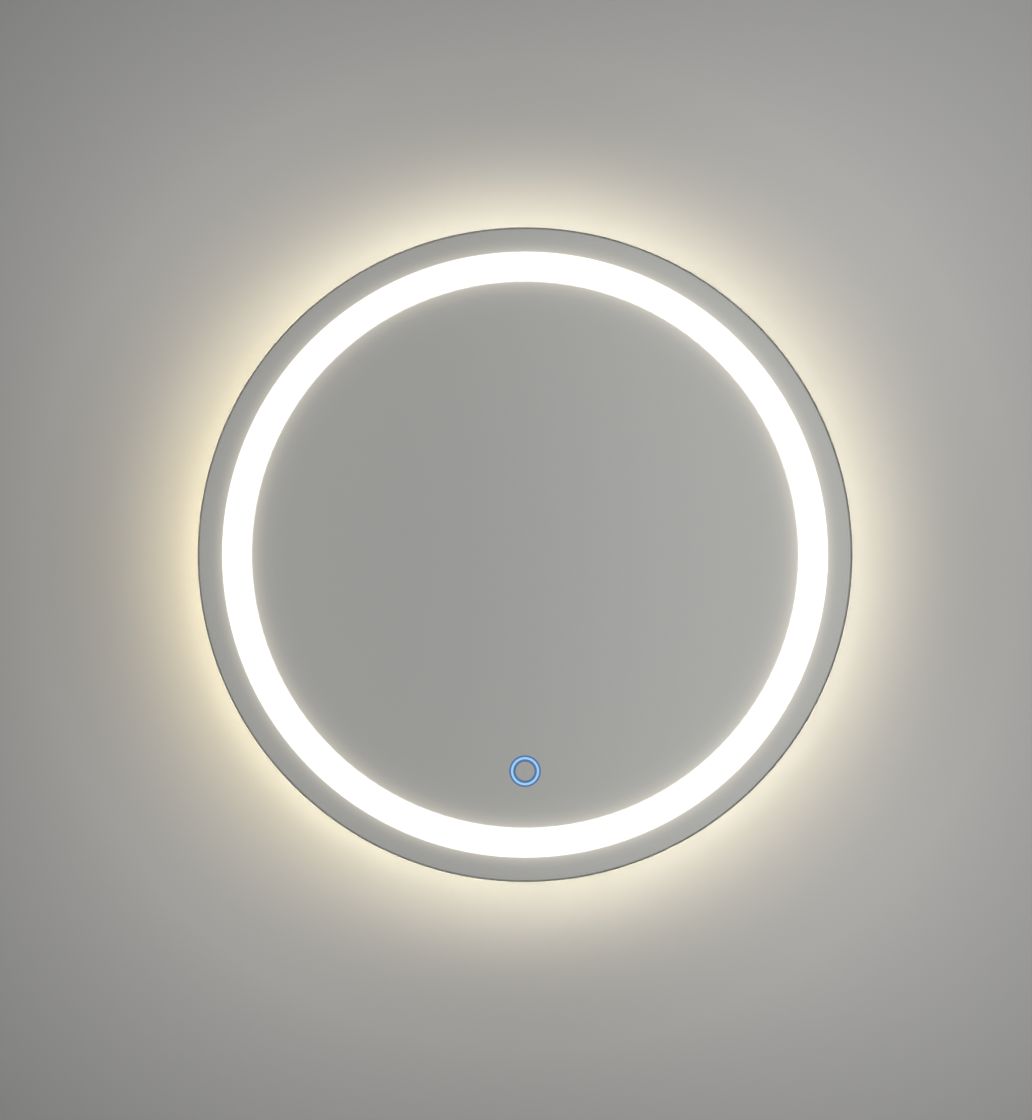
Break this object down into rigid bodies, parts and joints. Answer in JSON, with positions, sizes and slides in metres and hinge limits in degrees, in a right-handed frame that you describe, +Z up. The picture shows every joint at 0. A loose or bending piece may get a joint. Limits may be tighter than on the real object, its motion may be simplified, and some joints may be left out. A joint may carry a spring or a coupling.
{
  "type": "lighted bathroom mirror",
  "caption": "Round frameless wall mirror with a frosted LED band shining through its glass, an LED halo behind it, a touch switch and a lift-off wall rail.",
  "frame": {"origin": "on the wall plane, midway between the two screw holes of the wall rail", "axes": "+Y out of the mirror's back into the wall, the mirror faces -Y, +Z up"},
  "size_m": [0.5999, 0.04, 0.6],
  "materials": {
    "clear_glass": "clear float glass, 5 mm, ground and polished edge",
    "silvering": "silver on the back of glass, grey protective paint behind",
    "white_film": "woven-backed white safety film, satin",
    "foam_tape": "white acrylic foam tape",
    "black_foam": "closed-cell foam seal",
    "anodised_aluminium": "extruded, satin anodised",
    "white_tray": "white reflector paint, semi-matt",
    "opal_acrylic": "opal, satin, lit from behind",
    "opal_silicone": "opal silicone, satin, lit from behind",
    "strip_board": "flexible circuit, white solder mask",
    "warm_led": "LED package, phosphor face",
    "zinc_steel": "zinc coated sheet steel",
    "zinc_screw": "bright zinc plated",
    "rivet_aluminium": "bright",
    "bumper_rubber": "moulded, matt",
    "box_plastic": "moulded, fine spark texture",
    "switch_plastic": "moulded, fine spark texture",
    "circuit_board": "glass fibre board, green solder mask",
    "ferrite": "ferrite core with yellow tape round its winding",
    "capacitor_sleeve": "shrunk sleeve",
    "copper": "enamelled copper",
    "sink_aluminium": "extruded",
    "terminal_plastic": "moulded nylon",
    "terminal_brass": "machined",
    "grommet_rubber": "moulded, matt",
    "white_sheath": "extruded sheath, satin",
    "blue_led": "LED package",
    "blue_guide": "clear acrylic, lit blue"
  },
  "bodies": {
    "wall_mount": {"wall_rail": "zinc_steel"},
    "mirror": {"mirror_glass": "clear_glass", "silver_coating": "silvering", "safety_film": "white_film", "chassis_ring": "anodised_aluminium", "chassis_splice": "sink_aluminium", "splice_rivets": "rivet_aluminium", "glass_bond": "foam_tape", "light_seal_inner": "black_foam", "light_seal_outer": "black_foam", "light_tray": "white_tray", "front_diffuser": "opal_acrylic", "side_diffuser": "opal_silicone", "front_led_strip": "strip_board", "front_leds": "warm_led", "back_led_strip": "strip_board", "back_leds": "warm_led", "upper_crossbar": "zinc_steel", "lower_crossbar": "zinc_steel", "crossbar_screws": "zinc_screw", "hook_rail": "zinc_steel", "hook_rivets": "rivet_aluminium", "wall_bumpers": "bumper_rubber", "driver_base": "box_plastic", "driver_cover": "box_plastic", "driver_screws": "zinc_screw", "driver_pads": "foam_tape", "driver_board": "circuit_board", "driver_transformer": "ferrite", "driver_capacitors": "capacitor_sleeve", "driver_choke": "copper", "driver_heat_sink": "sink_aluminium", "driver_terminals": "terminal_plastic", "terminal_box_base": "box_plastic", "terminal_box_cover": "box_plastic", "terminal_box_screws": "zinc_screw", "terminal_box_pads": "foam_tape", "terminal_block": "terminal_plastic", "terminal_screws": "terminal_brass", "cable_grommet": "grommet_rubber", "switch_housing": "switch_plastic", "switch_pad": "foam_tape", "switch_board": "circuit_board", "switch_components": "ferrite", "switch_leds": "blue_led", "switch_light_guide": "blue_guide", "switch_electrode": "copper", "switch_lead": "white_sheath", "front_strip_lead": "white_sheath", "back_strip_lead": "white_sheath", "mains_lead": "white_sheath", "lead_bushes": "grommet_rubber", "lead_clips": "terminal_plastic", "lead_connector": "terminal_plastic"}
  },
  "joints": [
    {"name": "lift_off", "type": "slide", "parent": "wall_mount", "child": "mirror", "axis": [0, 0, 1], "range_m": [0, 0.012]}
  ]
}
